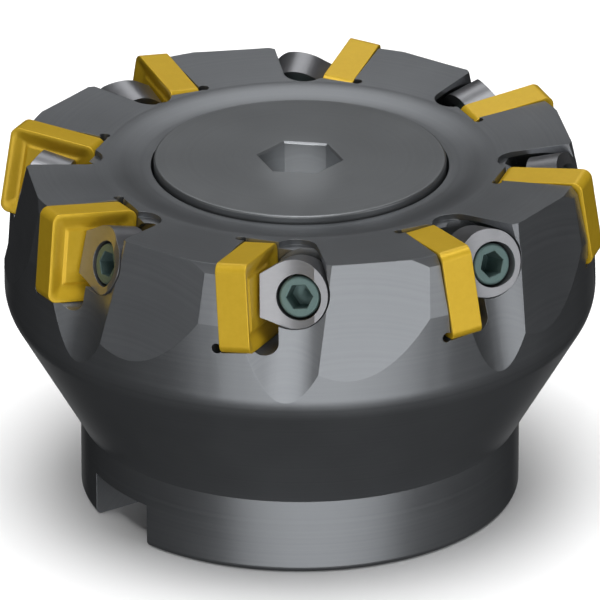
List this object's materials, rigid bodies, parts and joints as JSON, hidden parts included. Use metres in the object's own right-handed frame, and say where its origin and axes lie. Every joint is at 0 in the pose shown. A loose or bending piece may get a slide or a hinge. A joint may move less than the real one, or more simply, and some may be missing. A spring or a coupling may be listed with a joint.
{
  "type": "face mill",
  "caption": "Shell-type indexable face mill: steel cutter body with square inserts clamped by screw-driven wedges, a flanged lock screw, a pilot bore and a cross drive slot.",
  "frame": {"origin": "centre of the hub's back face, on the cutter's axis", "axes": "+Z along the cutter's axis towards the cutting face; X along the drive slot, through two opposite insert corners"},
  "size_m": [0.1064, 0.1064, 0.0635],
  "materials": {
    "body_steel": "turned and milled alloy steel, satin grey",
    "lock_screw_steel": "ground flat head, satin grey",
    "insert_coating": "gold nitride coating over sintered carbide, semi-gloss",
    "wedge_steel": "ground hardened steel, light grey",
    "screw_black_oxide": "dark blue-green conversion finish, semi-matt"
  },
  "bodies": {
    "cutter_body": {"cutter_body": "body_steel"},
    "lock_screw": {"lock_screw": "lock_screw_steel"},
    "insert_1": {"insert_1": "insert_coating"},
    "clamp_wedge_1": {"clamp_wedge_1": "wedge_steel"},
    "clamp_screw_1": {"clamp_screw_1": "screw_black_oxide"},
    "insert_2": {"insert_2": "insert_coating"},
    "clamp_wedge_2": {"clamp_wedge_2": "wedge_steel"},
    "clamp_screw_2": {"clamp_screw_2": "screw_black_oxide"},
    "insert_3": {"insert_3": "insert_coating"},
    "clamp_wedge_3": {"clamp_wedge_3": "wedge_steel"},
    "clamp_screw_3": {"clamp_screw_3": "screw_black_oxide"},
    "insert_4": {"insert_4": "insert_coating"},
    "clamp_wedge_4": {"clamp_wedge_4": "wedge_steel"},
    "clamp_screw_4": {"clamp_screw_4": "screw_black_oxide"},
    "insert_5": {"insert_5": "insert_coating"},
    "clamp_wedge_5": {"clamp_wedge_5": "wedge_steel"},
    "clamp_screw_5": {"clamp_screw_5": "screw_black_oxide"},
    "insert_6": {"insert_6": "insert_coating"},
    "clamp_wedge_6": {"clamp_wedge_6": "wedge_steel"},
    "clamp_screw_6": {"clamp_screw_6": "screw_black_oxide"},
    "insert_7": {"insert_7": "insert_coating"},
    "clamp_wedge_7": {"clamp_wedge_7": "wedge_steel"},
    "clamp_screw_7": {"clamp_screw_7": "screw_black_oxide"},
    "insert_8": {"insert_8": "insert_coating"},
    "clamp_wedge_8": {"clamp_wedge_8": "wedge_steel"},
    "clamp_screw_8": {"clamp_screw_8": "screw_black_oxide"}
  },
  "joints": [
    {"name": "lock_screw_lift", "type": "slide", "parent": "cutter_body", "child": "lock_screw", "axis": [0, 0, 1], "range_m": [0, 0.058]},
    {"name": "insert_1_slide", "type": "slide", "parent": "cutter_body", "child": "insert_1", "axis": [0.5955, -0.1747, 0.7841], "range_m": [0, 0.024]},
    {"name": "clamp_wedge_1_slide", "type": "slide", "parent": "cutter_body", "child": "clamp_wedge_1", "axis": [0.9647, -0.0489, 0.2588], "range_m": [0, 0.003]},
    {"name": "clamp_screw_1_turn", "type": "hinge", "parent": "clamp_wedge_1", "child": "clamp_screw_1", "pos_m": [0.0469, 0.00835, 0.0565], "axis": [0.9647, -0.0489, 0.2588], "range_deg": [0, 540]},
    {"name": "insert_2_slide", "type": "slide", "parent": "cutter_body", "child": "insert_2", "axis": [0.5446, 0.2976, 0.7841], "range_m": [0, 0.024]},
    {"name": "clamp_wedge_2_slide", "type": "slide", "parent": "cutter_body", "child": "clamp_wedge_2", "axis": [0.7167, 0.6476, 0.2588], "range_m": [0, 0.003]},
    {"name": "clamp_screw_2_turn", "type": "hinge", "parent": "clamp_wedge_2", "child": "clamp_screw_2", "pos_m": [0.02726, 0.03907, 0.0565], "axis": [0.7167, 0.6476, 0.2588], "range_deg": [0, 540]},
    {"name": "insert_3_slide", "type": "slide", "parent": "cutter_body", "child": "insert_3", "axis": [0.1747, 0.5955, 0.7841], "range_m": [0, 0.024]},
    {"name": "clamp_wedge_3_slide", "type": "slide", "parent": "cutter_body", "child": "clamp_wedge_3", "axis": [0.0489, 0.9647, 0.2588], "range_m": [0, 0.003]},
    {"name": "clamp_screw_3_turn", "type": "hinge", "parent": "clamp_wedge_3", "child": "clamp_screw_3", "pos_m": [-0.00835, 0.0469, 0.0565], "axis": [0.0489, 0.9647, 0.2588], "range_deg": [0, 540]},
    {"name": "insert_4_slide", "type": "slide", "parent": "cutter_body", "child": "insert_4", "axis": [-0.2976, 0.5446, 0.7841], "range_m": [0, 0.024]},
    {"name": "clamp_wedge_4_slide", "type": "slide", "parent": "cutter_body", "child": "clamp_wedge_4", "axis": [-0.6476, 0.7167, 0.2588], "range_m": [0, 0.003]},
    {"name": "clamp_screw_4_turn", "type": "hinge", "parent": "clamp_wedge_4", "child": "clamp_screw_4", "pos_m": [-0.03907, 0.02726, 0.0565], "axis": [-0.6476, 0.7167, 0.2588], "range_deg": [0, 540]},
    {"name": "insert_5_slide", "type": "slide", "parent": "cutter_body", "child": "insert_5", "axis": [-0.5955, 0.1747, 0.7841], "range_m": [0, 0.024]},
    {"name": "clamp_wedge_5_slide", "type": "slide", "parent": "cutter_body", "child": "clamp_wedge_5", "axis": [-0.9647, 0.0489, 0.2588], "range_m": [0, 0.003]},
    {"name": "clamp_screw_5_turn", "type": "hinge", "parent": "clamp_wedge_5", "child": "clamp_screw_5", "pos_m": [-0.0469, -0.00835, 0.0565], "axis": [-0.9647, 0.0489, 0.2588], "range_deg": [0, 540]},
    {"name": "insert_6_slide", "type": "slide", "parent": "cutter_body", "child": "insert_6", "axis": [-0.5446, -0.2976, 0.7841], "range_m": [0, 0.024]},
    {"name": "clamp_wedge_6_slide", "type": "slide", "parent": "cutter_body", "child": "clamp_wedge_6", "axis": [-0.7167, -0.6476, 0.2588], "range_m": [0, 0.003]},
    {"name": "clamp_screw_6_turn", "type": "hinge", "parent": "clamp_wedge_6", "child": "clamp_screw_6", "pos_m": [-0.02726, -0.03907, 0.0565], "axis": [-0.7167, -0.6476, 0.2588], "range_deg": [0, 540]},
    {"name": "insert_7_slide", "type": "slide", "parent": "cutter_body", "child": "insert_7", "axis": [-0.1747, -0.5955, 0.7841], "range_m": [0, 0.024]},
    {"name": "clamp_wedge_7_slide", "type": "slide", "parent": "cutter_body", "child": "clamp_wedge_7", "axis": [-0.0489, -0.9647, 0.2588], "range_m": [0, 0.003]},
    {"name": "clamp_screw_7_turn", "type": "hinge", "parent": "clamp_wedge_7", "child": "clamp_screw_7", "pos_m": [0.00835, -0.0469, 0.0565], "axis": [-0.0489, -0.9647, 0.2588], "range_deg": [0, 540]},
    {"name": "insert_8_slide", "type": "slide", "parent": "cutter_body", "child": "insert_8", "axis": [0.2976, -0.5446, 0.7841], "range_m": [0, 0.024]},
    {"name": "clamp_wedge_8_slide", "type": "slide", "parent": "cutter_body", "child": "clamp_wedge_8", "axis": [0.6476, -0.7167, 0.2588], "range_m": [0, 0.003]},
    {"name": "clamp_screw_8_turn", "type": "hinge", "parent": "clamp_wedge_8", "child": "clamp_screw_8", "pos_m": [0.03907, -0.02726, 0.0565], "axis": [0.6476, -0.7167, 0.2588], "range_deg": [0, 540]}
  ],
  "couplings": [
    {"joint": "clamp_screw_1_turn", "follows": "clamp_wedge_1_slide", "rad_per_m": 3141.5},
    {"joint": "clamp_screw_2_turn", "follows": "clamp_wedge_2_slide", "rad_per_m": 3141.5},
    {"joint": "clamp_screw_3_turn", "follows": "clamp_wedge_3_slide", "rad_per_m": 3141.5},
    {"joint": "clamp_screw_4_turn", "follows": "clamp_wedge_4_slide", "rad_per_m": 3141.5},
    {"joint": "clamp_screw_5_turn", "follows": "clamp_wedge_5_slide", "rad_per_m": 3141.5},
    {"joint": "clamp_screw_6_turn", "follows": "clamp_wedge_6_slide", "rad_per_m": 3141.5},
    {"joint": "clamp_screw_7_turn", "follows": "clamp_wedge_7_slide", "rad_per_m": 3141.5},
    {"joint": "clamp_screw_8_turn", "follows": "clamp_wedge_8_slide", "rad_per_m": 3141.5}
  ]
}
